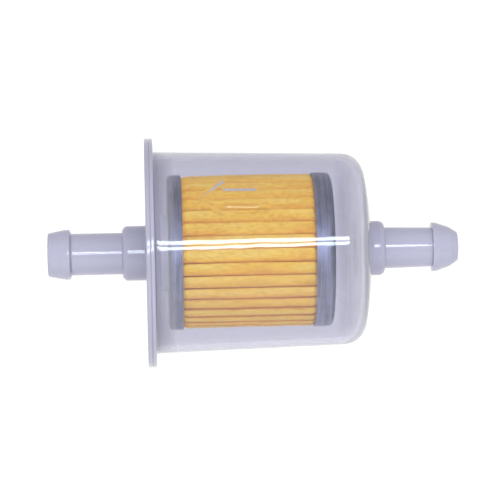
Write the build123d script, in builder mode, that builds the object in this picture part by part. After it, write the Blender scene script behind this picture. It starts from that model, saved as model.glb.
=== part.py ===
from build123d import *

import os
from math import cos, pi, radians, sin, sqrt, tan

# In-line fuel filter: clear two-shell housing round a pleated paper element.
#
# Millimetres. The filter's axis is X, +Z is up, and the origin is on the axis
# halfway between the two hose-nipple tips. The cover shell with the flange and
# the outlet nipple is at -X, the cup shell with the inlet nipple is at +X.
# Fuel enters at +X, passes inwards through the paper and leaves at -X.

# ---------------------------------------------------------------- housing
tip_x = 33.1                 # nipple tips, either way from the origin
bore_r = 2.0                 # fuel passage through both nipples

# outlet nipple, on the cover shell
out_tip_r = 3.52             # barb radius at the tip
out_tip_round = 0.3
out_barb_r = 4.04            # barb crest, for a 1/4 in hose
out_crest_x0 = -30.35
out_crest_x1 = -29.6
out_neck_x = -29.25
out_neck_r = 3.38

# inlet nipple, on the cup shell
in_nose_r = 3.2              # barb radius where the nose rounding starts
in_nose_x = 31.8
in_nose_tip_r = 2.35         # where the nose meets the tip face
in_nose_round = 2.5
in_tip_round = 0.25
in_barb_r = 3.98
in_crest_x0 = 28.95
in_crest_x1 = 29.55
in_neck_x = 28.85
in_neck_r = 3.18             # at the barb
in_neck_root_r = 3.35        # at the collar

# collars at the nipple roots
collar_r = 4.44
collar_round = 0.95
out_collar_x = -21.15
in_collar_x = 21.25

# flange, split into the cover's half and the cup's half
flange_r = 18.52
flange_x0 = -17.3
joint_x = -16.55             # weld plane between the two shells
flange_x1 = -15.84
flange_edge = 0.2            # rounding of the outer rim
weld_line = 0.1              # chamfer each side of the weld plane at the rim
lip_slope = 0.11             # the cup's lip thins towards the rim

# cup wall and end
wall = 1.05
cup_r = 16.29                # outside radius at the flange
draft = 1.53                 # degrees per side
root_fillet = 0.35
dome_r = 66.0                # spherical end
dome_apex = 19.11
shoulder_r = 3.5
end_wall = 1.2
inner_shoulder_r = 2.45

# cover plate, inside the cup's mouth
pilot_gap = 0.05
pilot_wall = 0.95
pilot_x = -15.2
cover_inner_x = -16.1
plate_fillet = 0.25
dome_fillet = 0.2
boss_r = 5.2
boss_x = -15.0
spigot_r = 3.5
spigot_x = -9.6
spigot_lead = 0.35

# raised flow arrow on the cup
arrow_angle = 32.0           # above the -Y side
arrow_x = -4.2
arrow_length = 9.6
arrow_head_length = 4.4
arrow_head_width = 8.2
arrow_shaft_width = 3.6
arrow_stroke = 0.55
arrow_height = 0.25

# ---------------------------------------------------------------- element
open_cap_x = -13.76          # outer face of the open cap
closed_cap_x = 12.6          # outer face of the closed cap
cap_r = 12.45
sheet = 0.3                  # tinned sheet of both caps
open_skirt_x = -11.55
closed_skirt_x = 9.55
open_cap_round = 0.6
closed_cap_round = 1.0
cap_hole_r = 4.6
dish_r = 5.0                 # stamped dish in the closed cap
dish_depth = 0.6
dish_bend = 0.12             # the inner line of the dish sits this much further out

potting_r = cap_r - sheet
potting_open_x = -12.2       # potting face that the pleats end on
potting_closed_x = 11.0
potting_hole_r = 5.8

pleats = 36
paper = 0.3                  # paper thickness
fold_r = 12.1                # outermost paper
fold_root_r = 11.35          # where an outer fold turns into its two legs
fold_half = 0.85             # half width of an outer fold
valley_r = 6.9               # where the legs turn into an inner fold
valley_half = 0.12           # half gap between two legs there
valley_floor_r = 6.75
valley_back_r = 6.45         # innermost paper

tube_r = 6.4
tube_wall = 0.4
tube_hole_r = 1.1
tube_hole_rows = 5
tube_hole_pitch = 4.2
tube_holes_round = 8

seam_half = 0.105            # glue strip between two legs
seam_r0 = 7.2
seam_r1 = 11.2

seal_flange_r = 6.2
seal_lip_r = 5.6
seal_lip_x = -12.9
seal_end_r = 4.9
seal_end_x = -12.3

draft_slope = tan(radians(draft))
pilot_r = cup_r - (pilot_x - flange_x1) * draft_slope - wall - pilot_gap


def wall_radius(x):
    """Outside radius of the drafted cup wall at x."""
    return cup_r - (x - flange_x1) * draft_slope


def dome_x(r, apex, radius):
    """Position of a spherical end of the given radius and apex at radius r."""
    return apex - radius + sqrt(radius**2 - r**2)


def corner(x, r):
    """Vertex of the half profile being drawn that is nearest to (x, r)."""
    return vertices().sort_by_distance((x, r))[0]


def polar(r, angle):
    """Point in the section across the axis; the angle is in degrees."""
    return (r * cos(radians(angle)), r * sin(radians(angle)))


os.makedirs("parts", exist_ok=True)

# ---------------------------------------------------------------- flow arrow
arrow_normal = Vector(0, -cos(radians(arrow_angle)), sin(radians(arrow_angle)))
arrow_plane = Plane(
    origin=Vector(arrow_x, 0, 0) + arrow_normal * (cup_r + 1.0),
    x_dir=(1, 0, 0),
    z_dir=arrow_normal,
)
arrow_half = arrow_length / 2
arrow_neck = -arrow_half + arrow_head_length
arrow_outline = [
    (-arrow_half, 0),
    (arrow_neck, arrow_head_width / 2),
    (arrow_neck, arrow_shaft_width / 2),
    (arrow_half, arrow_shaft_width / 2),
    (arrow_half, -arrow_shaft_width / 2),
    (arrow_neck, -arrow_shaft_width / 2),
    (arrow_neck, -arrow_head_width / 2),
]
arrow_x0 = arrow_x - arrow_length
arrow_x1 = arrow_x + arrow_length
with BuildPart() as flow_arrow:
    with BuildSketch(arrow_plane):
        with BuildLine():
            Polyline(*arrow_outline, close=True)
        make_face()
        offset(amount=-arrow_stroke, kind=Kind.INTERSECTION, mode=Mode.SUBTRACT)
    extrude(amount=-(cup_r / 2))
    with BuildSketch(Plane.XZ):
        with BuildLine():
            Polyline(
                (arrow_x0, wall_radius(arrow_x0) - wall / 2),
                (arrow_x1, wall_radius(arrow_x1) - wall / 2),
                (arrow_x1, wall_radius(arrow_x1) + arrow_height),
                (arrow_x0, wall_radius(arrow_x0) + arrow_height),
                close=True,
            )
        make_face()
    revolve(axis=Axis.X, mode=Mode.INTERSECT)

# ---------------------------------------------------------------- body cup
dome_edge_r = wall_radius(dome_x(wall_radius(dome_apex), dome_apex, dome_r))
dome_edge_x = dome_x(dome_edge_r, dome_apex, dome_r)
dome_mid_r = (dome_edge_r + collar_r) / 2
dome_end_x = dome_x(collar_r, dome_apex, dome_r)

inner_apex = dome_apex - end_wall
inner_edge_r = wall_radius(dome_edge_x) - wall
inner_edge_x = dome_x(inner_edge_r, inner_apex, dome_r)
inner_mid_r = (inner_edge_r + bore_r) / 2

with BuildPart() as body_cup:
    with BuildSketch(Plane.XZ):
        with BuildLine():
            Polyline(
                (joint_x, wall_radius(joint_x) - wall),
                (joint_x, flange_r - weld_line),
                (joint_x + weld_line, flange_r),
                (flange_x1 - lip_slope, flange_r),
                (flange_x1, cup_r),
                (dome_edge_x, dome_edge_r),
            )
            ThreePointArc(
                (dome_edge_x, dome_edge_r),
                (dome_x(dome_mid_r, dome_apex, dome_r), dome_mid_r),
                (dome_end_x, collar_r),
            )
            Polyline(
                (dome_end_x, collar_r),
                (in_collar_x, collar_r),
                (in_collar_x, in_neck_root_r),
                (in_neck_x, in_neck_r),
                (in_crest_x0, in_barb_r),
                (in_crest_x1, in_barb_r),
                (in_nose_x, in_nose_r),
                (tip_x, in_nose_tip_r),
                (tip_x, bore_r),
                (dome_x(bore_r, inner_apex, dome_r), bore_r),
            )
            ThreePointArc(
                (dome_x(bore_r, inner_apex, dome_r), bore_r),
                (dome_x(inner_mid_r, inner_apex, dome_r), inner_mid_r),
                (inner_edge_x, inner_edge_r),
            )
            Line((inner_edge_x, inner_edge_r), (joint_x, wall_radius(joint_x) - wall))
        make_face()
        fillet(corner(dome_edge_x, dome_edge_r), shoulder_r)
        fillet(corner(inner_edge_x, inner_edge_r), inner_shoulder_r)
        fillet(corner(flange_x1, cup_r), root_fillet)
        fillet(corner(flange_x1 - lip_slope, flange_r), flange_edge)
        fillet(corner(in_collar_x, collar_r), collar_round)
        fillet(corner(dome_end_x, collar_r), dome_fillet)
        fillet(corner(in_nose_x, in_nose_r), in_nose_round)
        fillet(corner(tip_x, in_nose_tip_r), in_tip_round)
    revolve(axis=Axis.X)
    add(flow_arrow.part)
body_cup.part.label = "body_cup"
export_step(body_cup.part, "parts/body_cup.step")

# ---------------------------------------------------------------- cover
with BuildPart() as cover:
    with BuildSketch(Plane.XZ):
        with BuildLine():
            Polyline(
                (-tip_x, bore_r),
                (-tip_x, out_tip_r),
                (out_crest_x0, out_barb_r),
                (out_crest_x1, out_barb_r),
                (out_neck_x, out_neck_r),
                (out_collar_x, out_neck_r),
                (out_collar_x, collar_r),
                (flange_x0, collar_r),
                (flange_x0, flange_r),
                (joint_x - weld_line, flange_r),
                (joint_x, flange_r - weld_line),
                (joint_x, pilot_r),
                (pilot_x, pilot_r),
                (pilot_x, pilot_r - pilot_wall),
                (cover_inner_x, pilot_r - pilot_wall),
                (cover_inner_x, boss_r),
                (boss_x, boss_r),
                (boss_x, spigot_r),
                (spigot_x - spigot_lead, spigot_r),
                (spigot_x, spigot_r - spigot_lead),
                (spigot_x, bore_r),
                close=True,
            )
        make_face()
        fillet(corner(-tip_x, out_tip_r), out_tip_round)
        fillet(corner(flange_x0, flange_r), flange_edge)
        fillet(corner(out_collar_x, collar_r), collar_round)
        fillet(corner(flange_x0, collar_r), plate_fillet)
    revolve(axis=Axis.X)
cover.part.label = "cover"
export_step(cover.part, "parts/cover.step")

# ---------------------------------------------------------------- end caps
with BuildPart() as end_cap_open:
    with BuildSketch(Plane.XZ):
        with BuildLine():
            Polyline(
                (open_cap_x, cap_hole_r),
                (open_cap_x, cap_r),
                (open_skirt_x, cap_r),
                (open_skirt_x, cap_r - sheet),
                (open_cap_x + sheet, cap_r - sheet),
                (open_cap_x + sheet, cap_hole_r),
                close=True,
            )
        make_face()
        fillet(corner(open_cap_x, cap_r), open_cap_round)
        fillet(corner(open_cap_x + sheet, cap_r - sheet), open_cap_round - sheet)
    revolve(axis=Axis.X)
end_cap_open.part.label = "end_cap_open"
export_step(end_cap_open.part, "parts/end_cap_open.step")

dish_x = closed_cap_x - dish_depth
with BuildPart() as end_cap_closed:
    with BuildSketch(Plane.XZ):
        with BuildLine():
            Polyline(
                (dish_x, 0),
                (dish_x, dish_r),
                (closed_cap_x, dish_r + dish_depth),
                (closed_cap_x, cap_r),
                (closed_skirt_x, cap_r),
                (closed_skirt_x, cap_r - sheet),
                (closed_cap_x - sheet, cap_r - sheet),
                (closed_cap_x - sheet, dish_r + dish_depth + dish_bend),
                (dish_x - sheet, dish_r + dish_bend),
                (dish_x - sheet, 0),
                close=True,
            )
        make_face()
        fillet(corner(closed_cap_x, cap_r), closed_cap_round)
        fillet(corner(closed_cap_x - sheet, cap_r - sheet), closed_cap_round - sheet)
    revolve(axis=Axis.X)
end_cap_closed.part.label = "end_cap_closed"
export_step(end_cap_closed.part, "parts/end_cap_closed.step")

# ---------------------------------------------------------------- potting
with BuildPart() as potting_open:
    with BuildSketch(Plane.XZ):
        with BuildLine():
            Polyline(
                (open_cap_x + sheet, potting_hole_r),
                (open_cap_x + sheet, potting_r),
                (potting_open_x, potting_r),
                (potting_open_x, potting_hole_r),
                close=True,
            )
        make_face()
        fillet(corner(open_cap_x + sheet, potting_r), open_cap_round - sheet)
    revolve(axis=Axis.X)
potting_open.part.label = "potting_open"
export_step(potting_open.part, "parts/potting_open.step")

with BuildPart() as potting_closed:
    with BuildSketch(Plane.XZ):
        with BuildLine():
            Polyline(
                (potting_closed_x, 0),
                (potting_closed_x, potting_r),
                (closed_cap_x - sheet, potting_r),
                (closed_cap_x - sheet, dish_r + dish_depth + dish_bend),
                (dish_x - sheet, dish_r + dish_bend),
                (dish_x - sheet, 0),
                close=True,
            )
        make_face()
        fillet(corner(closed_cap_x - sheet, potting_r), closed_cap_round - sheet)
    revolve(axis=Axis.X)
potting_closed.part.label = "potting_closed"
export_step(potting_closed.part, "parts/potting_closed.step")

# ---------------------------------------------------------------- pleated paper
paper_plane = Plane(origin=(potting_open_x, 0, 0), x_dir=(0, -1, 0), z_dir=(1, 0, 0))
paper_length = potting_closed_x - potting_open_x
pitch = 360 / pleats
fold_angle = fold_half / fold_root_r * 180 / pi
fold_back_angle = (fold_half - paper) / fold_root_r * 180 / pi
valley_angle = valley_half / valley_r * 180 / pi
valley_back_angle = (valley_half + paper) / valley_r * 180 / pi

with BuildPart() as pleated_paper:
    with BuildSketch(paper_plane):
        with BuildLine():
            for number in range(pleats):
                fold = (number + 0.5) * pitch
                valley = fold + pitch / 2
                ThreePointArc(
                    polar(fold_root_r, fold - fold_angle),
                    polar(fold_r, fold),
                    polar(fold_root_r, fold + fold_angle),
                )
                Line(
                    polar(fold_root_r, fold + fold_angle),
                    polar(valley_r, valley - valley_angle),
                )
                ThreePointArc(
                    polar(valley_r, valley - valley_angle),
                    polar(valley_floor_r, valley),
                    polar(valley_r, valley + valley_angle),
                )
                Line(
                    polar(valley_r, valley + valley_angle),
                    polar(fold_root_r, fold + pitch - fold_angle),
                )
        make_face()
        with BuildLine():
            for number in range(pleats):
                fold = (number + 0.5) * pitch
                valley = fold + pitch / 2
                ThreePointArc(
                    polar(fold_root_r, fold - fold_back_angle),
                    polar(fold_r - paper, fold),
                    polar(fold_root_r, fold + fold_back_angle),
                )
                Line(
                    polar(fold_root_r, fold + fold_back_angle),
                    polar(valley_r, valley - valley_back_angle),
                )
                ThreePointArc(
                    polar(valley_r, valley - valley_back_angle),
                    polar(valley_back_r, valley),
                    polar(valley_r, valley + valley_back_angle),
                )
                Line(
                    polar(valley_r, valley + valley_back_angle),
                    polar(fold_root_r, fold + pitch - fold_back_angle),
                )
        make_face(mode=Mode.SUBTRACT)
    extrude(amount=paper_length)
pleated_paper.part.label = "pleated_paper"
export_step(pleated_paper.part, "parts/pleated_paper.step")

# glue strip that closes the pleat pack, on the +Y side
with BuildPart() as seam_strip:
    with BuildSketch(paper_plane):
        with BuildLine():
            Polyline(
                (-seam_r0, -seam_half),
                (-seam_r1, -seam_half),
                (-seam_r1, seam_half),
                (-seam_r0, seam_half),
                close=True,
            )
        make_face()
    extrude(amount=paper_length)
seam_strip.part.label = "seam_strip"
export_step(seam_strip.part, "parts/seam_strip.step")

# ---------------------------------------------------------------- centre tube
tube_mid_x = (potting_open_x + potting_closed_x) / 2
with BuildPart() as centre_tube:
    with BuildSketch(paper_plane):
        Circle(tube_r)
        Circle(tube_r - tube_wall, mode=Mode.SUBTRACT)
    extrude(amount=paper_length)
    for row in range(tube_hole_rows):
        row_x = tube_mid_x + (row - (tube_hole_rows - 1) / 2) * tube_hole_pitch
        row_turn = (row % 2) * 180 / tube_holes_round
        for hole in range(tube_holes_round // 2):
            hole_angle = row_turn + hole * 360 / tube_holes_round
            hole_axis = (0, cos(radians(hole_angle)), sin(radians(hole_angle)))
            with BuildSketch(Plane(origin=(row_x, 0, 0), x_dir=(1, 0, 0), z_dir=hole_axis)):
                Circle(tube_hole_r)
            extrude(amount=tube_r * 2, both=True, mode=Mode.SUBTRACT)
centre_tube.part.label = "centre_tube"
export_step(centre_tube.part, "parts/centre_tube.step")

# ---------------------------------------------------------------- seal
with BuildPart() as outlet_seal:
    with BuildSketch(Plane.XZ):
        with BuildLine():
            Polyline(
                (boss_x, spigot_r),
                (boss_x, seal_flange_r),
                (open_cap_x, seal_flange_r),
                (open_cap_x, cap_hole_r),
                (open_cap_x + sheet, cap_hole_r),
                (open_cap_x + sheet, seal_lip_r),
                (seal_lip_x, seal_lip_r),
                (seal_end_x, seal_end_r),
                (seal_end_x, spigot_r),
                close=True,
            )
        make_face()
    revolve(axis=Axis.X)
outlet_seal.part.label = "outlet_seal"
export_step(outlet_seal.part, "parts/outlet_seal.step")
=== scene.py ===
"""Looks of the clear in-line fuel filter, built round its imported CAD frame.

Metres. The axis is X with the flange and the outlet at -X, +Z is up and -Y is
the front. Turned pieces are re-turned finely from the outlines of their CAD
nodes, and the pleated paper is folded again with the unevenness of real paper.
"""
import random
from math import ceil, cos, hypot, pi, radians, sin, sqrt

import bmesh
import bpy
from mathutils import Matrix, Vector, noise


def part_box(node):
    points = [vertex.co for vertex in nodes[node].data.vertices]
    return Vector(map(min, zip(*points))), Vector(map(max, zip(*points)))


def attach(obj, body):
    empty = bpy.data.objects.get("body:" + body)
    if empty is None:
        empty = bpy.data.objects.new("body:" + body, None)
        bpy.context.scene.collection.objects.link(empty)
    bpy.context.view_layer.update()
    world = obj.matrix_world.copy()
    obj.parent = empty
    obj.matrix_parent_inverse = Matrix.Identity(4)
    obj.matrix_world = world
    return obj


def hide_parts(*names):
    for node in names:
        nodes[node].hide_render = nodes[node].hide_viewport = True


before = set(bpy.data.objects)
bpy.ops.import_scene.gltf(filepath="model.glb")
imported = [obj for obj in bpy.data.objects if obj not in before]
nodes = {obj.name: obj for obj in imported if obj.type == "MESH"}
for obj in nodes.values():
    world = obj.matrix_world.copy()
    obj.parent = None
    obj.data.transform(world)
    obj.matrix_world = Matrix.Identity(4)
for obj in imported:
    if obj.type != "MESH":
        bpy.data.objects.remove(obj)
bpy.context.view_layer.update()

MM = 0.001
BODY = "root"
random.seed(7)

# ------------------------------------------------------------------ turned pieces
WELD = 1e-7                   # vertices nearer than this are one
STRAIGHT = 3 * WELD           # an outline point closer than this to its neighbours' line goes
SECTION_TURN = radians(0.7)   # the cut is turned off the CAD mesh's own seam
POLE_R = 0.02 * MM            # an outline point inside this is on the axis
RUN = 0.8 * MM                # longest run along a shell's outline
CAP_RUN = 0.4 * MM            # along a cap's
FINE_RUN = 0.16 * MM          # and over the raised arrow
STEPS_ROUND = 208
SHARP = radians(34)           # a sharper edge isn't smoothed
WAVE_R = 14 * MM              # waves have their stated size round a turned piece of this radius

# raised flow arrow on the front of the cup: its tip points to -X
ARROW_ANGLE = radians(32)     # above the front
ARROW_X = -4.2 * MM
ARROW_LENGTH = 9.6 * MM
ARROW_HEAD_LENGTH = 4.4 * MM
ARROW_HEAD = 8.2 * MM
ARROW_SHAFT = 3.6 * MM
ARROW_STROKE = 0.55 * MM
ARROW_HEIGHT = 0.24 * MM      # rounding leaves about 0.2 mm; the CAD's is a crisp 0.25 mm
ARROW_EDGE = 0.27 * MM        # half the width of the stroke's sloping side
ARROW_WALL = 4 * MM           # from the paper to the wall that carries it


def section(node):
    """The outline of a turned CAD node as (x, radius) points, and whether it closes."""
    bm = bmesh.new()
    bm.from_mesh(nodes[node].data)
    bmesh.ops.remove_doubles(bm, verts=bm.verts, dist=WELD)
    up = Vector((0, -sin(SECTION_TURN), cos(SECTION_TURN)))
    side = Vector((0, cos(SECTION_TURN), sin(SECTION_TURN)))
    everything = bm.verts[:] + bm.edges[:] + bm.faces[:]
    bmesh.ops.bisect_plane(bm, geom=everything, dist=WELD, plane_co=(0, 0, 0), plane_no=up, clear_inner=True)
    everything = bm.verts[:] + bm.edges[:] + bm.faces[:]
    cut = bmesh.ops.bisect_plane(bm, geom=everything, dist=WELD, plane_co=(0, 0, 0), plane_no=side)
    near = {}
    for edge in cut["geom_cut"]:
        if isinstance(edge, bmesh.types.BMEdge):
            a, b = edge.verts
            near.setdefault(a, []).append(b)
            near.setdefault(b, []).append(a)
    ends = [v for v in near if len(near[v]) == 1]
    here = ends[0] if ends else next(iter(near))
    path = [here]
    seen = {here}
    while True:
        ahead = [v for v in near[here] if v not in seen]
        if not ahead:
            break
        here = ahead[0]
        seen.add(here)
        path.append(here)
    points = [(v.co.x, hypot(v.co.y, v.co.z)) for v in path]
    bm.free()
    return straightened(points, not ends), not ends


def straightened(points, closed):
    """The outline without the points that lie on a straight run."""
    kept = []
    count = len(points)
    for i, (x, r) in enumerate(points):
        if not closed and i in (0, count - 1):
            kept.append((x, r))
            continue
        x0, r0 = points[i - 1]
        x1, r1 = points[(i + 1) % count]
        run = hypot(x1 - x0, r1 - r0)
        bend = abs((x1 - x0) * (r - r0) - (r1 - r0) * (x - x0)) / max(run, WELD)
        if bend > STRAIGHT:
            kept.append((x, r))
    return kept


def refined(points, closed, longest):
    """The outline with long runs halved until none is longer than longest(x, r)."""
    out = []

    def add(a, b):
        middle = ((a[0] + b[0]) / 2, (a[1] + b[1]) / 2)
        if hypot(b[0] - a[0], b[1] - a[1]) > longest(*middle):
            add(a, middle)
            add(middle, b)
        else:
            out.append(b)

    if not closed:
        out.append(points[0])
    start = 0 if closed else 1
    for i in range(start, len(points)):
        add(points[i - 1], points[i])
    return out


def turned(name, outline, closed, angles, shift):
    """A turned solid: the outline swept round the axis through the angles, which
    are measured from the front upwards. shift(x, r, angle) moves a point outwards."""
    bm = bmesh.new()
    rings = []
    for x, r in outline:
        if r < POLE_R:
            rings.append([bm.verts.new((x, 0, 0))] * len(angles))
            continue
        ring = []
        for angle in angles:
            far = r + shift(x, r, angle)
            ring.append(bm.verts.new((x, -far * cos(angle), far * sin(angle))))
        rings.append(ring)
    count = len(rings)
    for i in range(0 if closed else 1, count):
        a, b = rings[i - 1], rings[i]
        for j in range(len(angles)):
            corners = [a[j - 1], a[j], b[j], b[j - 1]]
            unique = [v for k, v in enumerate(corners) if v is not corners[k - 1]]
            if len(unique) > 2:
                bm.faces.new(unique)
    bmesh.ops.recalc_face_normals(bm, faces=bm.faces)
    return piece_from(bm, name)


def piece_from(bm, name):
    """A smooth-shaded object from a bmesh, with its sharp edges marked."""
    mesh = bpy.data.meshes.new(name)
    bm.to_mesh(mesh)
    bm.free()
    mesh.shade_smooth()
    mesh.set_sharp_from_angle(angle=SHARP)
    piece = bpy.data.objects.new(name, mesh)
    bpy.context.scene.collection.objects.link(piece)
    return piece


def install(piece, node, material):
    """Puts a piece in the place of a CAD node, on the part's one body."""
    piece.data.materials.append(material)
    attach(piece, BODY)
    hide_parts(node)


def even_angles(count):
    """Angles all the way round, the same distance apart."""
    return [2 * pi * i / count for i in range(count)]


def angles_with_arrow():
    """Angles round the cup, closer together where the arrow is."""
    wall_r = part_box("pleated_paper")[1].z + ARROW_WALL
    half = (ARROW_HEAD / 2 + 2 * ARROW_EDGE) / wall_r
    fine = ceil(2 * half / (FINE_RUN / wall_r))
    coarse = ceil((2 * pi - 2 * half) / (2 * pi / STEPS_ROUND))
    first, last = ARROW_ANGLE - half, ARROW_ANGLE + half
    near = [first + 2 * half * i / fine for i in range(fine)]
    far = [last + (2 * pi - 2 * half) * i / coarse for i in range(coarse)]
    return near + far


def wave(x, angle, size, seed):
    """Smooth noise between -1 and 1 over a turned surface, with bumps about size metres long."""
    turn = WAVE_R / size
    return noise.noise(Vector((x / size + seed, cos(angle) * turn, sin(angle) * turn + 2 * seed)))


# ------------------------------------------------------------------ raised arrow
def arrow_corners():
    """The arrow's outer outline: (along X from its middle, along the wall)."""
    half = ARROW_LENGTH / 2
    neck = -half + ARROW_HEAD_LENGTH
    upper = [(-half, 0), (neck, ARROW_HEAD / 2), (neck, ARROW_SHAFT / 2), (half, ARROW_SHAFT / 2)]
    return upper + [(s, -t) for s, t in reversed(upper[1:])]


def inside_depth(s, t, corners):
    """How deep a point lies inside the outline, or less than 0 outside it."""
    nearest = 1.0
    inside = False
    for i, (s1, t1) in enumerate(corners):
        s0, t0 = corners[i - 1]
        ds, dt = s1 - s0, t1 - t0
        along = max(0.0, min(1.0, ((s - s0) * ds + (t - t0) * dt) / (ds * ds + dt * dt)))
        nearest = min(nearest, hypot(s - s0 - along * ds, t - t0 - along * dt))
        if (t0 > t) != (t1 > t) and s < s0 + ds * (t - t0) / dt:
            inside = not inside
    return nearest if inside else -nearest


def smooth_step(low, high, value):
    """0 below low and 1 above high, with an S-shaped rise between."""
    share = max(0.0, min(1.0, (value - low) / (high - low)))
    return share * share * (3 - 2 * share)


ARROW_CORNERS = arrow_corners()


def arrow_relief(x, r, angle):
    """Height of the raised arrow outline at a point of the cup's outer wall."""
    s = x - ARROW_X
    t = (angle - ARROW_ANGLE) * r
    if abs(s) > ARROW_LENGTH / 2 + ARROW_EDGE or abs(t) > ARROW_HEAD / 2 + ARROW_EDGE:
        return 0.0
    off_middle = abs(inside_depth(s, t, ARROW_CORNERS) - ARROW_STROKE / 2)
    half = ARROW_STROKE / 2 + ARROW_EDGE / 2
    return ARROW_HEIGHT * (1 - smooth_step(half - 2 * ARROW_EDGE, half, off_middle))


# ------------------------------------------------------------------ node helpers
class Nodes:
    """A material's node tree, with short calls for the nodes used here."""

    def __init__(self, name):
        self.material = bpy.data.materials.new(name)
        self.material.use_nodes = True
        self.tree = self.material.node_tree
        self.tree.nodes.clear()
        self.out = self.add("ShaderNodeOutputMaterial")
        self.where = self.add("ShaderNodeTexCoord").outputs["Object"]

    def add(self, kind, **settings):
        """A new node, with the settings given by name."""
        node = self.tree.nodes.new(kind)
        for key, value in settings.items():
            setattr(node, key, value)
        return node

    def put(self, socket, value):
        """Links an output to a socket, or sets the socket's own value."""
        if isinstance(value, bpy.types.NodeSocket):
            self.tree.links.new(value, socket)
        else:
            socket.default_value = value

    def stretch(self, scale):
        """Object coordinates with each axis scaled."""
        node = self.add("ShaderNodeMapping")
        self.put(node.inputs["Vector"], self.where)
        node.inputs["Scale"].default_value = scale
        return node.outputs[0]

    def radius(self):
        """Distance from the axis."""
        node = self.add("ShaderNodeVectorMath", operation="LENGTH")
        self.put(node.inputs[0], self.stretch((0, 1, 1)))
        return node.outputs["Value"]

    def noise(self, size, detail=3.0, rough=0.55, where=None):
        """Noise between 0 and 1 with features about size metres across."""
        node = self.add("ShaderNodeTexNoise")
        self.put(node.inputs["Vector"], where or self.where)
        node.inputs["Scale"].default_value = 1 / size
        node.inputs["Detail"].default_value = detail
        node.inputs["Roughness"].default_value = rough
        return node.outputs["Fac"]

    def ramp(self, value, stops):
        """Colours or greys by value: stops are (position, colour)."""
        node = self.add("ShaderNodeValToRGB")
        self.put(node.inputs["Fac"], value)
        band = node.color_ramp
        while len(band.elements) < len(stops):
            band.elements.new(0.5)
        for element, (at, colour) in zip(band.elements, stops):
            element.position = at
            if not isinstance(colour, tuple):
                colour = (colour, colour, colour)
            element.color = (*colour, 1)
        return node.outputs["Color"]

    def span(self, value, low, high, start=0.3, end=0.7):
        """value from start..end stretched to low..high."""
        node = self.add("ShaderNodeMapRange")
        self.put(node.inputs["Value"], value)
        node.inputs["From Min"].default_value = start
        node.inputs["From Max"].default_value = end
        node.inputs["To Min"].default_value = low
        node.inputs["To Max"].default_value = high
        return node.outputs[0]

    def math(self, operation, a, b=0.0):
        """Two values combined by a Math node."""
        node = self.add("ShaderNodeMath", operation=operation)
        self.put(node.inputs[0], a)
        self.put(node.inputs[1], b)
        return node.outputs[0]

    def mix(self, share, a, b, blend="MIX"):
        """Colour a with that share of colour b blended in."""
        node = self.add("ShaderNodeMix", data_type="RGBA", blend_type=blend)
        self.put(node.inputs[0], share)
        self.put(node.inputs[6], a if isinstance(a, bpy.types.NodeSocket) else (*a, 1))
        self.put(node.inputs[7], b if isinstance(b, bpy.types.NodeSocket) else (*b, 1))
        return node.outputs[2]

    def bump(self, height, strength, distance, under=None):
        """A normal bent by height, on top of the normal under."""
        node = self.add("ShaderNodeBump")
        node.inputs["Strength"].default_value = strength
        node.inputs["Distance"].default_value = distance
        self.put(node.inputs["Height"], height)
        if under is not None:
            self.put(node.inputs["Normal"], under)
        return node.outputs[0]

    def surface(self, **values):
        """The Principled shader, with its sockets named in lower case and underscores."""
        node = self.add("ShaderNodeBsdfPrincipled")
        for key, value in values.items():
            socket = node.inputs[key.replace("_", " ").title().replace("Ior", "IOR")]
            if isinstance(value, tuple) and len(value) == 3:
                value = (*value, 1)
            self.put(socket, value)
        self.put(self.out.inputs["Surface"], node.outputs[0])
        return node


# ------------------------------------------------------------------ materials
# clear plastic
WALL_TINT = (0.83, 0.825, 0.87)          # what one wall lets through
WALL_TINT_THIN = (0.85, 0.845, 0.89)
# painted shade: the clear plastic's colour by the flange, darker
MOUTH_PAINTED_SHADE_TINT = (0.40, 0.39, 0.47)          # darker by the flange
MILKY = (0.28, 0.275, 0.35)              # its own colour where it is thick
DEPTH_TINT = (0.3, 0.3, 0.5, 1)          # one minus this is absorbed,
ABSORPTION = 260                         # times this for each metre
LAMP_TINT = (0.92, 0.92, 0.95)           # how much lamp light one wall lets through
CLEAR_THROUGH, CLOUDY_THROUGH = 0.99, 0.3   # transmission where thin and where thick
CLOUDY_ROUGHNESS = 0.06                  # added where it is thick
CLOUD = 4 * MM                           # size of the cloudy patches
SPECKLE = 1.2 * MM
RIPPLE_BUMP = 2.2 * MM
# how cloudy it looks, from 0 to 1, and where
NIPPLE_R, NIPPLE_FADE = 4.6 * MM, 2.5 * MM
STEM_FROM, STEM_TO = 3 * MM, 5.5 * MM    # beyond the closed cap, where the inlet nipple starts
RIM_CLOUD = 0.95
RIM_FROM, RIM_TO = 4.3 * MM, 4.8 * MM    # outside the caps, where the flange starts
DOME_CLOUD = 0.5
DOME_FROM, DOME_TO = 1 * MM, 6.5 * MM    # beyond the closed cap
# share of painted shade by the flange, and of cloud there
MOUTH_PAINTED_SHADE_SHARE, MOUTH_CLOUD = 0.9, 0.4
MOUTH_FROM, MOUTH_TO = 1 * MM, 4 * MM    # from the flange
PLATE_CLOUD = (0.6, 0.68)                # the cover's flat plate

# filter paper
PALE_FROM_R, PALE_TO_R = 11.9 * MM, 12.5 * MM   # paper outside this is painted paler: painted light on the crowns, painted shade further in
# painted light and shade: the paper's colour deep in the folds, down their sides, and on the crowns
PAPER_PAINTED_DEEP_SHADE = (0.82, 0.37, 0.015)
PAPER_PAINTED_SIDE_SHADE = (0.89, 0.53, 0.045)
PAPER_PAINTED_CROWN_LIGHT = (0.92, 0.66, 0.125)
PAPER_FIBRE = (0.76, 0.66, 0.50)         # shade of the fibres, multiplied in
FIBRE, STREAK, CREASE = 0.34 * MM, 1.8 * MM, 1.0 * MM
STREAK_DEPTH = 0.16 * MM                 # how far the edge of the painted shade wanders

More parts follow.
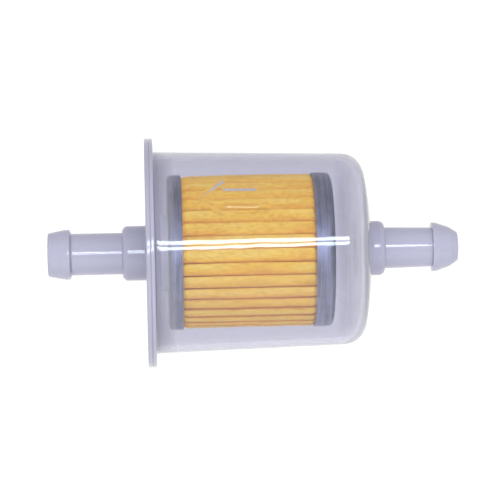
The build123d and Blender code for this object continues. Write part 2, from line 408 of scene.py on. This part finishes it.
# tinned steel
STEEL_SHADE = 0.35
STEEL_TINT = (1.0, 1.04, 1.32)
STEEL_DULL = 0.78                        # shade of the duller patches
LATHE_LINE, LATHE_BAND, DULL_PATCH = 0.3 * MM, 0.7 * MM, 2.4 * MM
ROUND_THE_AXIS = (1, 0.03, 0.03)         # stretch that draws noise out into rings


def moulded_plastic(name, is_cup):
    """Natural moulded plastic, slightly lavender. A thin wall is clear and the thick
    nipples, the end and the flange are cloudy. There is a faint ripple from the mould.
    By the flange, and all over the cover, its colour is made darker: painted shade."""
    n = Nodes(name)
    split = n.add("ShaderNodeSeparateXYZ")
    n.put(split.inputs[0], n.where)
    x = split.outputs["X"]
    radius = n.radius()
    cloud = n.noise(CLOUD, detail=3)
    cap_x, cap_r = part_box("end_cap_closed")[1].x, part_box("end_cap_closed")[1].z
    mouth_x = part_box("body_cup")[0].x
    nipple = n.span(radius, 1, 0, NIPPLE_R, NIPPLE_R + NIPPLE_FADE)
    rim = n.span(radius, 0, RIM_CLOUD, cap_r + RIM_FROM, cap_r + RIM_TO)
    if is_cup:
        stem = n.span(x, 0, 1, cap_x + STEM_FROM, cap_x + STEM_TO)
        nipple = n.math("MULTIPLY", nipple, stem)
        dome = n.span(x, 0, DOME_CLOUD, cap_x + DOME_FROM, cap_x + DOME_TO)
        # painted shade: its share, fading out away from the flange
        mouth = n.span(x, MOUTH_PAINTED_SHADE_SHARE, 0, mouth_x + MOUTH_FROM, mouth_x + MOUTH_TO)
        plate = n.math("MAXIMUM", dome, n.math("MULTIPLY", mouth, MOUTH_CLOUD))
    else:
        # painted shade: the cover has the darker colour all over
        mouth = MOUTH_PAINTED_SHADE_SHARE
        plate = n.span(cloud, *PLATE_CLOUD)
    thick = n.math("MAXIMUM", plate, n.math("MAXIMUM", nipple, rim))
    clear = n.ramp(cloud, [(0.3, WALL_TINT), (0.7, WALL_TINT_THIN)])
    # painted shade: the darker colour mixed in
    clear = n.mix(mouth, clear, MOUTH_PAINTED_SHADE_TINT)
    tint = n.mix(thick, clear, MILKY)
    polish = n.span(n.noise(SPECKLE, detail=4), 0.03, 0.07)
    rough = n.math("ADD", polish, n.math("MULTIPLY", thick, CLOUDY_ROUGHNESS))
    ripple = n.bump(n.noise(RIPPLE_BUMP, detail=1), 0.12, 0.05 * MM)
    shader = n.surface(
        base_color=tint,
        roughness=rough,
        ior=1.48,
        transmission_weight=n.span(thick, CLEAR_THROUGH, CLOUDY_THROUGH, 0, 1),
        normal=ripple,
    )
    # shadow rays go straight through, so the lamps reach the inside
    through = n.add("ShaderNodeBsdfTransparent")
    through.inputs["Color"].default_value = (*[sqrt(c) for c in LAMP_TINT], 1)
    path = n.add("ShaderNodeLightPath")
    either = n.add("ShaderNodeMixShader")
    n.put(either.inputs[0], path.outputs["Is Shadow Ray"])
    n.put(either.inputs[1], shader.outputs[0])
    n.put(either.inputs[2], through.outputs[0])
    n.put(n.out.inputs["Surface"], either.outputs[0])
    depth = n.add("ShaderNodeVolumeAbsorption")
    depth.inputs["Color"].default_value = DEPTH_TINT
    depth.inputs["Density"].default_value = ABSORPTION
    n.put(n.out.inputs["Volume"], depth.outputs[0])
    return n.material


def filter_paper():
    """Resin-treated filter paper: matt and fibrous. Its colour is painted paler on the crowns
    of the folds and deeper orange down their sides: painted light and shade."""
    n = Nodes("filter_paper")
    fibre = n.noise(FIBRE, detail=6, rough=0.7, where=n.stretch((0.45, 1, 1)))
    streak = n.noise(STREAK, detail=4, rough=0.6, where=n.stretch((0.16, 1, 1)))
    depth = n.math("ADD", n.radius(), n.span(streak, -STREAK_DEPTH, STREAK_DEPTH))
    # painted light and shade: paler towards the crowns, deeper orange towards the valleys
    painted_fold_shade = n.span(depth, 0, 1, PALE_FROM_R, PALE_TO_R)
    base = n.ramp(painted_fold_shade, [(0.0, PAPER_PAINTED_DEEP_SHADE), (0.55, PAPER_PAINTED_SIDE_SHADE), (1.0, PAPER_PAINTED_CROWN_LIGHT)])
    speck = n.ramp(fibre, [(0.34, PAPER_FIBRE), (0.56, (1.0, 1.0, 1.0))])
    colour = n.mix(1.0, base, speck, "MULTIPLY")
    weave = n.bump(fibre, 0.4, 0.07 * MM)
    crumple = n.noise(CREASE, detail=3, where=n.stretch((0.3, 1, 1)))
    crease = n.bump(crumple, 0.35, 0.2 * MM, weave)
    n.surface(
        base_color=colour,
        roughness=n.span(fibre, 0.78, 0.92),
        normal=crease,
        specular_ior_level=0.25,
    )
    return n.material


def tinned_steel():
    """Tinned sheet, spun in a lathe: fine lines run round the axis."""
    n = Nodes("tinned_steel")
    lines = n.noise(LATHE_LINE, detail=6, rough=0.75, where=n.stretch(ROUND_THE_AXIS))
    bands = n.noise(LATHE_BAND, detail=2, where=n.stretch(ROUND_THE_AXIS))
    dull = n.noise(DULL_PATCH, detail=4, rough=0.6)
    bright = tuple(STEEL_SHADE * c for c in STEEL_TINT)
    dark = tuple(STEEL_DULL * c for c in bright)
    colour = n.ramp(dull, [(0.35, dark), (0.62, bright)])
    streak = n.ramp(lines, [(0.38, 0.58), (0.60, 1.05)])
    colour = n.mix(1.0, colour, streak, "MULTIPLY")
    rough = n.math("ADD", n.span(dull, 0.42, 0.32), n.span(bands, 0.02, 0.1))
    grooves = n.bump(lines, 0.5, 0.05 * MM)
    bent = n.bump(bands, 0.2, 0.08 * MM, grooves)
    n.surface(base_color=colour, metallic=1.0, roughness=rough, normal=bent)
    return n.material


def dull_solid(name, low, high, rough, grain=0.5 * MM):
    """A matt moulded or cured surface, faintly mottled."""
    n = Nodes(name)
    mottle = n.noise(grain * 3, detail=4)
    fine = n.noise(grain, detail=4, rough=0.65)
    n.surface(
        base_color=n.ramp(mottle, [(0.35, low), (0.65, high)]),
        roughness=n.span(fine, rough - 0.06, rough + 0.06),
        normal=n.bump(fine, 0.3, 0.05 * MM),
    )
    return n.material


CUP_PLASTIC = moulded_plastic("cup_plastic", True)
COVER_PLASTIC = moulded_plastic("cover_plastic", False)
PAPER = filter_paper()
STEEL = tinned_steel()
POTTING = dull_solid("potting", (0.42, 0.42, 0.46), (0.5, 0.5, 0.55), 0.55)
GLUE = dull_solid("glue", (0.70, 0.52, 0.24), (0.8, 0.62, 0.32), 0.5)
SEAL = dull_solid("seal_rubber", (0.86, 0.86, 0.93), (0.90, 0.90, 0.96), 0.5)

# ------------------------------------------------------------------ clear shells
JOINT_OVERLAP = 0.01 * MM     # the two shells are welded, so no film of air parts them
RIPPLE, RIPPLE_SIZE = 0.02 * MM, 9 * MM            # the mould's slow ripple in the cup
FINE_RIPPLE, FINE_RIPPLE_SIZE = 0.010 * MM, 2.6 * MM
COVER_RIPPLE, COVER_RIPPLE_SIZE = 0.006 * MM, 4 * MM
FLANGE_SHARE, REST_SHARE = 0.7, 0.3                # of the ripple, off the outer skin
HALF_WALL = 0.5 * MM          # half the wall's thickness, nearly
WALL_BEYOND_CAP = 3 * MM      # this far outside the caps, the wall has only its outer skin
WALL_FROM_MOUTH = 1.5 * MM    # where the wall is clear of the flange


def build_cup():
    """The clear cup, with the mould's ripple and the raised arrow on its outer skin."""
    outline, closed = section("body_cup")
    mouth = min(x for x, r in outline)
    wall_low = mouth + WALL_FROM_MOUTH
    wall_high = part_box("end_cap_closed")[1].x
    wall_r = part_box("end_cap_closed")[1].z + WALL_BEYOND_CAP

    def longest(x, r):
        on_wall = r > wall_r and wall_low < x < wall_high
        near_arrow = abs(x - ARROW_X) < ARROW_LENGTH / 2 + 3 * ARROW_EDGE
        return FINE_RUN if on_wall and near_arrow else RUN

    points = refined(outline, closed, longest)
    points = [(x - JOINT_OVERLAP if x < mouth + WELD else x, r) for x, r in points]
    # on the drafted wall, the outer skin is what lies within half a wall of the outside
    outside = {}
    for x, r in points:
        key = round(x / MM)
        outside[key] = max(outside.get(key, 0), r)

    def shift(x, r, angle):
        ripple = RIPPLE * wave(x, angle, RIPPLE_SIZE, 3)
        ripple += FINE_RIPPLE * wave(x, angle, FINE_RIPPLE_SIZE, 9)
        if r > outside[round(x / MM)] - HALF_WALL and r > wall_r:
            return ripple + arrow_relief(x, r, angle)
        return FLANGE_SHARE * ripple if r > wall_r else REST_SHARE * ripple

    cup = turned("clear_cup", points, closed, angles_with_arrow(), shift)
    install(cup, "body_cup", CUP_PLASTIC)
    return cup


def build_cover():
    """The clear cover, very slightly uneven."""
    outline, closed = section("cover")
    points = refined(outline, closed, lambda x, r: RUN)

    def shift(x, r, angle):
        return COVER_RIPPLE * wave(x, angle, COVER_RIPPLE_SIZE, 5)

    cover = turned("clear_cover", points, closed, even_angles(STEPS_ROUND), shift)
    install(cover, "cover", COVER_PLASTIC)
    return cover


# ------------------------------------------------------------------ metal caps
DENT, DENT_SIZE = 0.02 * MM, 6 * MM
FINE_DENT, FINE_DENT_SIZE = 0.006 * MM, 1.5 * MM


def build_cap(node):
    """A drawn cap: very slightly out of round, with an uneven skirt."""
    outline, closed = section(node)
    points = refined(outline, closed, lambda x, r: CAP_RUN)
    seed = 11 if node == "end_cap_open" else 17

    def shift(x, r, angle):
        dent = DENT * wave(x, angle, DENT_SIZE, seed)
        return dent + FINE_DENT * wave(x, angle, FINE_DENT_SIZE, seed)

    cap = turned("metal_" + node, points, closed, even_angles(STEPS_ROUND), shift)
    install(cap, node, STEEL)
    return cap


# ------------------------------------------------------------------ pleated paper
PLEATS = 36
SHEET = 0.3 * MM
FOLD_R = 12.05 * MM           # outermost paper inside the caps
FOLD_BULGE = 0.42 * MM        # and how much further out it stands between them
BULGE_RUN = 0.55 * MM         # along the axis, from a cap's edge to the full height
FOLD_ROOT_R = 11.35 * MM      # where an outer fold turns into its two legs
ROOT_FOLLOWS = 0.9            # share of the bulge that the root follows
FOLD_HALF_END = 0.92 * MM     # half width of a fold at the caps
FOLD_HALF_MIDDLE = 0.995 * MM  # and half way, where the folds bulge
FOLD_FLATNESS = 0.50          # 1 is a half ellipse, less is flatter with rounder shoulders
FOLD_TILT = 0.30 * MM         # one side of each fold stands this much higher
VALLEY_R = 6.9 * MM           # where the legs end
VALLEY_HALF = 0.12 * MM
VALLEY_FLOOR_R = 6.75 * MM    # the inner fold's outer and inner side
VALLEY_BACK_R = 6.47 * MM
LEAN = radians(12)            # the pack is twisted, so the folds lean over
LEAN_POWER = 1.15             # and lean more towards their crowns
DRIFT, WANDER = 0.03 * MM, 0.05 * MM   # how far a fold is off its place, and strays along it
FATNESS = 0.015 * MM          # and how much its half width is out
CROWN_DROP = 0.10 * MM        # most that a fold's crown sits low
CROWN_WAVE = 0.03 * MM        # and how much its crown goes up and down
STATIONS = 48
CROWN_STEPS = 10
LEG_STEPS = 5


def leaning(r):
    """How far the paper at radius r is turned round the axis by the lean."""
    share = (r - VALLEY_R) / (FOLD_R - VALLEY_R)
    return LEAN * max(0.0, share) ** LEAN_POWER


def pleat_points(fold_half, crown_r, root_r, valley_half, valley_r, sheet):
    """One pleat as (radius, distance along the arc from the fold's middle), up to
    the next pleat. sheet is taken off to give the paper's other side."""
    points = []
    half = fold_half - sheet
    top = crown_r - sheet
    for i in range(CROWN_STEPS + 1):
        turn = pi * (i / CROWN_STEPS - 0.5)
        across = sin(turn)
        rise = abs(cos(turn)) ** FOLD_FLATNESS
        r = root_r + (top - root_r - FOLD_TILT * (1 - across) / 2) * rise
        points.append((r, half * across))
    far = pi / PLEATS * VALLEY_R
    near = far - valley_half - sheet
    for i in range(1, LEG_STEPS + 1):
        share = i / LEG_STEPS
        r = root_r + (VALLEY_R - root_r) * share
        points.append((r, half + (near - half) * share))
    points.append((valley_r, far))
    for i in range(LEG_STEPS):
        share = 1 - i / LEG_STEPS
        r = root_r + (VALLEY_R - root_r) * share
        t = half + (near - half) * share
        points.append((r, 2 * pi / PLEATS * r - t))
    return points


def build_paper():
    """The pleated sheet: each fold sits a little off its place and bulges half way."""
    low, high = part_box("pleated_paper")
    skirt_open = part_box("end_cap_open")[1].x
    skirt_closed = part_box("end_cap_closed")[0].x
    drift = [random.uniform(-1, 1) for _ in range(PLEATS)]
    height = [random.uniform(0, 1) for _ in range(PLEATS)]
    fatness = [random.uniform(-1, 1) for _ in range(PLEATS)]
    bm = bmesh.new()
    loops = []
    for station in range(STATIONS + 1):
        share = station / STATIONS
        x = low.x + (high.x - low.x) * share
        bulge = 1 - (2 * share - 1) ** 2
        clear_of_caps = min(x - skirt_open, skirt_closed - x)
        proud = FOLD_BULGE * smooth_step(-0.1 * MM, BULGE_RUN, clear_of_caps)
        for sheet, valley_r in ((0.0, VALLEY_FLOOR_R), (SHEET, VALLEY_BACK_R)):
            ring = []
            for fold in range(PLEATS):
                middle = 2 * pi * (fold + 0.5) / PLEATS
                wander = noise.noise(Vector((x / (6 * MM), 3.1 * fold, 0.5)))
                middle += (DRIFT * drift[fold] + WANDER * wander) / FOLD_R
                half = FOLD_HALF_END + (FOLD_HALF_MIDDLE - FOLD_HALF_END) * bulge
                half += FATNESS * fatness[fold]
                root = FOLD_ROOT_R + ROOT_FOLLOWS * proud
                crown = FOLD_R + proud - CROWN_DROP * height[fold]
                crown += CROWN_WAVE * noise.noise(Vector((x / (3 * MM), 5.7 * fold, 8.5)))
                for r, t in pleat_points(half, crown, root, VALLEY_HALF, valley_r, sheet):
                    angle = middle + t / r + leaning(r)
                    ring.append(bm.verts.new((x, -r * cos(angle), r * sin(angle))))
            loops.append(ring)
    count = len(loops[0])

    def band(a, b):
        for i in range(count):
            bm.faces.new((a[i - 1], a[i], b[i], b[i - 1]))

    for station in range(STATIONS):
        here = 2 * station
        band(loops[here], loops[here + 2])
        band(loops[here + 3], loops[here + 1])
    band(loops[1], loops[0])
    band(loops[-2], loops[-1])
    bmesh.ops.recalc_face_normals(bm, faces=bm.faces)
    sheet = piece_from(bm, "pleated_sheet")
    install(sheet, "pleated_paper", PAPER)
    return sheet


BEAD_HALF, BEAD_UNEVEN = 0.09 * MM, 0.02 * MM
BEAD_STEPS = 6


def build_seam():
    """The bead of glue in one gap of the pack, following the leaning legs."""
    low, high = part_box("seam_strip")
    inner, outer = low.y, high.y
    out = [(inner + (outer - inner) * i / BEAD_STEPS, 1) for i in range(BEAD_STEPS + 1)]
    back = [(outer - (outer - inner) * i / BEAD_STEPS, -1) for i in range(BEAD_STEPS + 1)]
    bm = bmesh.new()
    rings = []
    for station in range(STATIONS + 1):
        share = station / STATIONS
        x = low.x + (high.x - low.x) * share
        ring = []
        for r, side in out + back:
            uneven = BEAD_UNEVEN * noise.noise(Vector((x / (2 * MM), r / MM, 4)))
            angle = pi + leaning(r) + side * (BEAD_HALF + uneven) / r
            ring.append(bm.verts.new((x, -r * cos(angle), r * sin(angle))))
        rings.append(ring)
    for a, b in zip(rings, rings[1:]):
        for i in range(len(a)):
            bm.faces.new((a[i - 1], a[i], b[i], b[i - 1]))
    bm.faces.new(rings[0])
    bm.faces.new(rings[-1])
    bmesh.ops.recalc_face_normals(bm, faces=bm.faces)
    bead = piece_from(bm, "seam_bead")
    install(bead, "seam_strip", GLUE)
    return bead


def dress(node, material):
    """Gives a CAD node that keeps its own mesh a finished material."""
    obj = nodes[node]
    obj.data.materials.clear()
    obj.data.materials.append(material)


build_cup()
build_cover()
build_cap("end_cap_open")
build_cap("end_cap_closed")
build_paper()
build_seam()
dress("centre_tube", STEEL)
dress("potting_open", POTTING)
dress("potting_closed", POTTING)
dress("outlet_seal", SEAL)

# ------------------------------------------------------------------ camera
CAMERA_DISTANCE = 0.424
CAMERA_TURN = radians(2.3)    # it stands a little to the left of square
CAMERA_ROLL = radians(-1.25)
CAMERA_LENS = 188.6           # on a 36 mm sensor
AIM = Vector((-0.49 * MM, 0, 0.13 * MM))

camera_data = bpy.data.cameras.new("camera")
camera_data.lens = CAMERA_LENS
camera_data.sensor_width = 36
camera_data.clip_start = 0.01
camera = bpy.data.objects.new("camera", camera_data)
bpy.context.scene.collection.objects.link(camera)
camera.location = Vector((-sin(CAMERA_TURN), -cos(CAMERA_TURN), 0)) * CAMERA_DISTANCE
view = (AIM - camera.location).to_track_quat("-Z", "Y").to_matrix().to_4x4()
camera.matrix_world = Matrix.Translation(camera.location) @ view @ Matrix.Rotation(CAMERA_ROLL, 4, "Z")
bpy.context.scene.camera = camera


# ------------------------------------------------------------------ stage and light
def lamp(name, place, size, power, colour, roll=0.0):
    """A soft rectangular lamp aimed at the filter, seen only by its light and in reflections."""
    data = bpy.data.lights.new(name, "AREA")
    data.shape = "RECTANGLE"
    data.size, data.size_y = size
    data.energy = power
    data.color = colour
    light = bpy.data.objects.new(name, data)
    bpy.context.scene.collection.objects.link(light)
    facing = (-Vector(place)).to_track_quat("-Z", "Y").to_matrix().to_4x4()
    light.matrix_world = Matrix.Translation(place) @ facing @ Matrix.Rotation(roll, 4, "Z")
    light.visible_camera = False
    light.visible_transmission = False
    return light


ROOM, ROOM_TOP = 1.08, 0.85
FLOOR_Z = -0.30               # well below the filter
FLOOR_SIZE = 6.0
FLOOR_GLOW = 0.355
COOL = (0.80, 0.91, 1.0)
WHITE = (1.0, 1.0, 1.0)
STRIP_X, STRIP_Y = 0.0220, -0.66
STRIP_LENGTH = 0.250


def build_floor():
    """A wide pale floor well below the filter, lit like a light table."""
    bm = bmesh.new()
    bmesh.ops.create_grid(bm, x_segments=8, y_segments=8, size=FLOOR_SIZE)
    mesh = bpy.data.meshes.new("floor")
    bm.to_mesh(mesh)
    bm.free()
    floor = bpy.data.objects.new("floor", mesh)
    floor.location.z = FLOOR_Z
    bpy.context.scene.collection.objects.link(floor)
    n = Nodes("floor")
    n.surface(
        base_color=(0.8, 0.8, 0.8),
        roughness=0.9,
        emission_color=WHITE,
        emission_strength=FLOOR_GLOW,
    )
    mesh.materials.append(n.material)


def build_world():
    """A plain white room, a little dimmer overhead."""
    world = bpy.data.worlds.new("studio")
    world.use_nodes = True
    tree = world.node_tree
    tree.nodes.clear()
    where = tree.nodes.new("ShaderNodeTexCoord")
    split = tree.nodes.new("ShaderNodeSeparateXYZ")
    ramp = tree.nodes.new("ShaderNodeValToRGB")
    back = tree.nodes.new("ShaderNodeBackground")
    out = tree.nodes.new("ShaderNodeOutputWorld")
    low, high = ramp.color_ramp.elements
    low.position, low.color = 0.15, (ROOM, ROOM, ROOM, 1)
    high.position, high.color = 0.9, (ROOM_TOP, ROOM_TOP, ROOM_TOP, 1)
    tree.links.new(where.outputs["Generated"], split.inputs[0])
    tree.links.new(split.outputs["Z"], ramp.inputs[0])
    tree.links.new(ramp.outputs[0], back.inputs["Color"])
    tree.links.new(back.outputs[0], out.inputs[0])
    bpy.context.scene.world = world


build_floor()
build_world()
# the strips give the bright line along the body and the nipples
lamp("strip_upper", (STRIP_X, STRIP_Y, 0.1227), (STRIP_LENGTH, 0.049), 0.86, COOL, radians(12))
lamp("strip_lower", (STRIP_X, STRIP_Y, 0.0468), (STRIP_LENGTH, 0.037), 0.62, COOL, radians(20))
# and these two fill in from above and below, without mirror images of their own
for name, place, size, power in (
    ("soft_above", (0.0, -0.30, 0.42), (0.7, 0.35), 3.3),
    ("soft_below", (0.0, -0.30, -0.27), (0.7, 0.25), 2.8),
):
    lamp(name, place, size, power, WHITE).visible_glossy = False

scene = bpy.context.scene
scene.view_settings.view_transform = "Standard"
scene.cycles.caustics_refractive = True     # the paper is lit through the shell
scene.cycles.caustics_reflective = False
scene.cycles.max_bounces = 24
scene.cycles.transmission_bounces = 20
scene.cycles.transparent_max_bounces = 24
